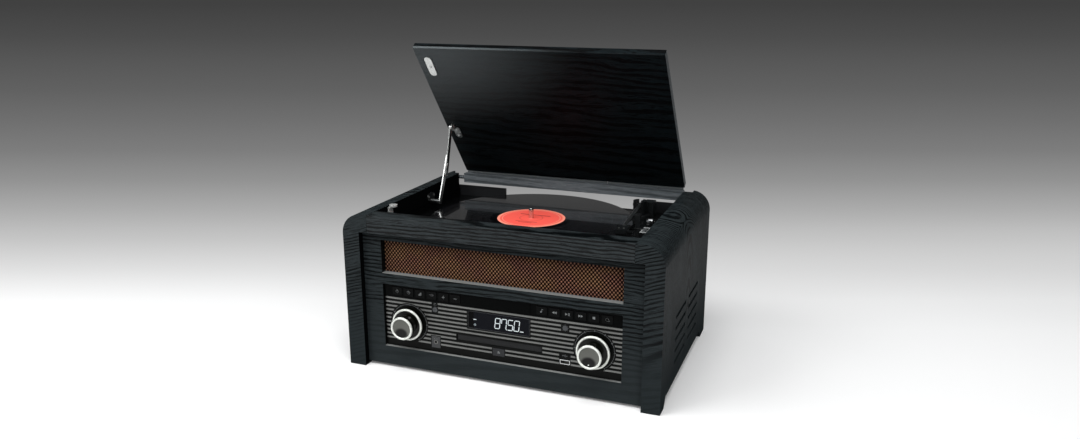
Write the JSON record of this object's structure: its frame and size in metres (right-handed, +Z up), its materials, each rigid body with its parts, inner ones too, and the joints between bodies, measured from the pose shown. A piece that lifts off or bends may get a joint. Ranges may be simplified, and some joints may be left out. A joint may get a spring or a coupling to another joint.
{
  "type": "stereo music centre",
  "caption": "Retro wooden music centre with an open lid over a record deck, a woven speaker grille, keys, display, disc slot and two ringed knobs.",
  "frame": {"origin": "on the floor, midway between the side boards and midway between their front and rear ends", "axes": "+X to the right seen from the front, +Y to the back, +Z up"},
  "size_m": [0.45, 0.3335, 0.4424],
  "materials": {
    "dark_wood": "satin dark grey stained wood with visible grain",
    "black_board": "matt black painted board",
    "woven_cloth": "brown, gold and black woven loudspeaker cloth",
    "black_plastic": "matt black plastic",
    "gloss_black": "glossy black plastic",
    "key_plastic": "glossy dark key caps with pale printed icons",
    "stripe_metal": "satin grey metal",
    "dark_window": "smoked window",
    "knob_black": "dark glossy barrel with a satin cap",
    "bright_ring": "polished champagne rings",
    "socket_metal": "plain nickel",
    "lens_grey": "clear grey lens",
    "platter_rubber": "dark mat over metal",
    "vinyl": "glossy grooved black disc",
    "label_paper": "orange-red paper",
    "brass_pulley": "turned brass",
    "belt_rubber": "flat black rubber",
    "arm_silver": "satin silver",
    "hinge_steel": "zinc-plated steel"
  },
  "bodies": {
    "cabinet": {"left_side": "dark_wood", "right_side": "dark_wood", "front_top_rail": "dark_wood", "front_baffle": "dark_wood", "grille_cloth": "woven_cloth", "speakers": "black_plastic", "back_panel": "black_board", "bottom_panel": "black_board", "rear_sockets": "black_plastic", "fascia": "black_plastic", "trim_stripes": "stripe_metal", "key_strip": "gloss_black", "display_window": "dark_window", "display_module": "black_plastic", "knob_encoders": "socket_metal", "cd_mechanism": "black_plastic", "front_sockets": "socket_metal", "indicator_lenses": "lens_grey", "deck_plate": "black_plastic", "motor": "socket_metal", "drive_belt": "belt_rubber", "arm_base": "black_plastic", "arm_rest": "black_plastic", "rail_leaves": "hinge_steel", "wall_bracket": "hinge_steel", "lid_catch": "hinge_steel", "rear_rail": "dark_wood"},
    "lid": {"lid_panel": "dark_wood", "lid_leaves": "hinge_steel", "strike_plate": "hinge_steel", "lid_bracket": "hinge_steel"},
    "stay_lower": {"lower_bar": "hinge_steel"},
    "stay_upper": {"upper_bar": "hinge_steel"},
    "volume": {"volume_knob": "knob_black", "volume_rings": "bright_ring"},
    "tuning": {"tuning_knob": "knob_black", "tuning_rings": "bright_ring"},
    "flap": {"cd_flap": "black_plastic"},
    "eject": {"eject_key": "black_plastic"},
    "turntable": {"platter": "platter_rubber", "record": "vinyl", "record_label": "label_paper"},
    "pulley": {"motor_pulley": "brass_pulley"},
    "arm_yaw": {"arm_drum": "black_plastic"},
    "tonearm": {"arm_tube": "arm_silver", "headshell": "black_plastic"},
    "cue": {"cue_lever": "arm_silver"},
    "speed": {"speed_lever": "arm_silver"},
    "key_left_1_body": {"key_left_1": "key_plastic"},
    "key_left_2_body": {"key_left_2": "key_plastic"},
    "key_left_3_body": {"key_left_3": "key_plastic"},
    "key_left_4_body": {"key_left_4": "key_plastic"},
    "key_left_5_body": {"key_left_5": "key_plastic"},
    "key_left_6_body": {"key_left_6": "key_plastic"},
    "key_right_1_body": {"key_right_1": "key_plastic"},
    "key_right_2_body": {"key_right_2": "key_plastic"},
    "key_right_3_body": {"key_right_3": "key_plastic"},
    "key_right_4_body": {"key_right_4": "key_plastic"},
    "key_right_5_body": {"key_right_5": "key_plastic"},
    "key_right_6_body": {"key_right_6": "key_plastic"}
  },
  "joints": [
    {"name": "lid_hinge", "type": "hinge", "parent": "cabinet", "child": "lid", "pos_m": [0, 0.1502, 0.2225], "axis": [1, 0, 0], "range_deg": [0, 51.2]},
    {"name": "stay_lower_pivot", "type": "hinge", "parent": "cabinet", "child": "stay_lower", "pos_m": [-0.1706, 0.036, 0.199], "axis": [1, 0, 0], "range_deg": [-57.9, 0]},
    {"name": "stay_upper_pivot", "type": "hinge", "parent": "lid", "child": "stay_upper", "pos_m": [-0.1686, 0.07545, 0.30829], "axis": [1, 0, 0], "range_deg": [0, 43.4]},
    {"name": "volume_turn", "type": "hinge", "parent": "cabinet", "child": "volume", "pos_m": [-0.134, -0.1475, 0.06925], "axis": [0, 1, 0], "range_deg": [-150, 150]},
    {"name": "tuning_turn", "type": "hinge", "parent": "cabinet", "child": "tuning", "pos_m": [0.134, -0.1475, 0.06925], "axis": [0, 1, 0], "continuous": true},
    {"name": "flap_swing", "type": "hinge", "parent": "cabinet", "child": "flap", "pos_m": [0, -0.1355, 0.0623], "axis": [1, 0, 0], "range_deg": [0, 75], "stiffness_Nm_per_rad": 0.002, "springref_deg": -17.19},
    {"name": "eject_push", "type": "slide", "parent": "cabinet", "child": "eject", "axis": [0, 1, 0], "range_m": [0, 0.0012], "stiffness_N_per_m": 400, "springref_m": -0.001},
    {"name": "platter_turn", "type": "hinge", "parent": "cabinet", "child": "turntable", "pos_m": [-0.014, 0.021, 0.184], "axis": [0, 0, -1], "continuous": true},
    {"name": "pulley_turn", "type": "hinge", "parent": "cabinet", "child": "pulley", "pos_m": [-0.07623, -0.04122, 0.184], "axis": [0, 0, -1], "continuous": true},
    {"name": "arm_swing", "type": "hinge", "parent": "cabinet", "child": "arm_yaw", "pos_m": [0.128, 0.107, 0.204], "axis": [0, 0, -1], "range_deg": [0, 41.4]},
    {"name": "arm_lift", "type": "hinge", "parent": "arm_yaw", "child": "tonearm", "pos_m": [0.128, 0.107, 0.204], "axis": [0.9976, 0.0698, 0], "range_deg": [-4, 1.05]},
    {"name": "cue_lever_turn", "type": "hinge", "parent": "cabinet", "child": "cue", "pos_m": [0.156, 0.059, 0.193], "axis": [1, 0, 0], "range_deg": [-45, 0]},
    {"name": "speed_slide", "type": "slide", "parent": "cabinet", "child": "speed", "axis": [0, 1, 0], "range_m": [0, 0.01]},
    {"name": "key_left_1_push", "type": "slide", "parent": "cabinet", "child": "key_left_1_body", "axis": [0, 1, 0], "range_m": [0, 0.0012], "stiffness_N_per_m": 400, "springref_m": -0.001},
    {"name": "key_left_2_push", "type": "slide", "parent": "cabinet", "child": "key_left_2_body", "axis": [0, 1, 0], "range_m": [0, 0.0012], "stiffness_N_per_m": 400, "springref_m": -0.001},
    {"name": "key_left_3_push", "type": "slide", "parent": "cabinet", "child": "key_left_3_body", "axis": [0, 1, 0], "range_m": [0, 0.0012], "stiffness_N_per_m": 400, "springref_m": -0.001},
    {"name": "key_left_4_push", "type": "slide", "parent": "cabinet", "child": "key_left_4_body", "axis": [0, 1, 0], "range_m": [0, 0.0012], "stiffness_N_per_m": 400, "springref_m": -0.001},
    {"name": "key_left_5_push", "type": "slide", "parent": "cabinet", "child": "key_left_5_body", "axis": [0, 1, 0], "range_m": [0, 0.0012], "stiffness_N_per_m": 400, "springref_m": -0.001},
    {"name": "key_left_6_push", "type": "slide", "parent": "cabinet", "child": "key_left_6_body", "axis": [0, 1, 0], "range_m": [0, 0.0012], "stiffness_N_per_m": 400, "springref_m": -0.001},
    {"name": "key_right_1_push", "type": "slide", "parent": "cabinet", "child": "key_right_1_body", "axis": [0, 1, 0], "range_m": [0, 0.0012], "stiffness_N_per_m": 400, "springref_m": -0.001},
    {"name": "key_right_2_push", "type": "slide", "parent": "cabinet", "child": "key_right_2_body", "axis": [0, 1, 0], "range_m": [0, 0.0012], "stiffness_N_per_m": 400, "springref_m": -0.001},
    {"name": "key_right_3_push", "type": "slide", "parent": "cabinet", "child": "key_right_3_body", "axis": [0, 1, 0], "range_m": [0, 0.0012], "stiffness_N_per_m": 400, "springref_m": -0.001},
    {"name": "key_right_4_push", "type": "slide", "parent": "cabinet", "child": "key_right_4_body", "axis": [0, 1, 0], "range_m": [0, 0.0012], "stiffness_N_per_m": 400, "springref_m": -0.001},
    {"name": "key_right_5_push", "type": "slide", "parent": "cabinet", "child": "key_right_5_body", "axis": [0, 1, 0], "range_m": [0, 0.0012], "stiffness_N_per_m": 400, "springref_m": -0.001},
    {"name": "key_right_6_push", "type": "slide", "parent": "cabinet", "child": "key_right_6_body", "axis": [0, 1, 0], "range_m": [0, 0.0012], "stiffness_N_per_m": 400, "springref_m": -0.001}
  ],
  "couplings": [
    {"joint": "stay_lower_pivot", "follows": "lid_hinge", "ratio": -1.1297},
    {"joint": "stay_upper_pivot", "follows": "lid_hinge", "ratio": 0.8461},
    {"joint": "pulley_turn", "follows": "platter_turn", "ratio": 11.628}
  ]
}
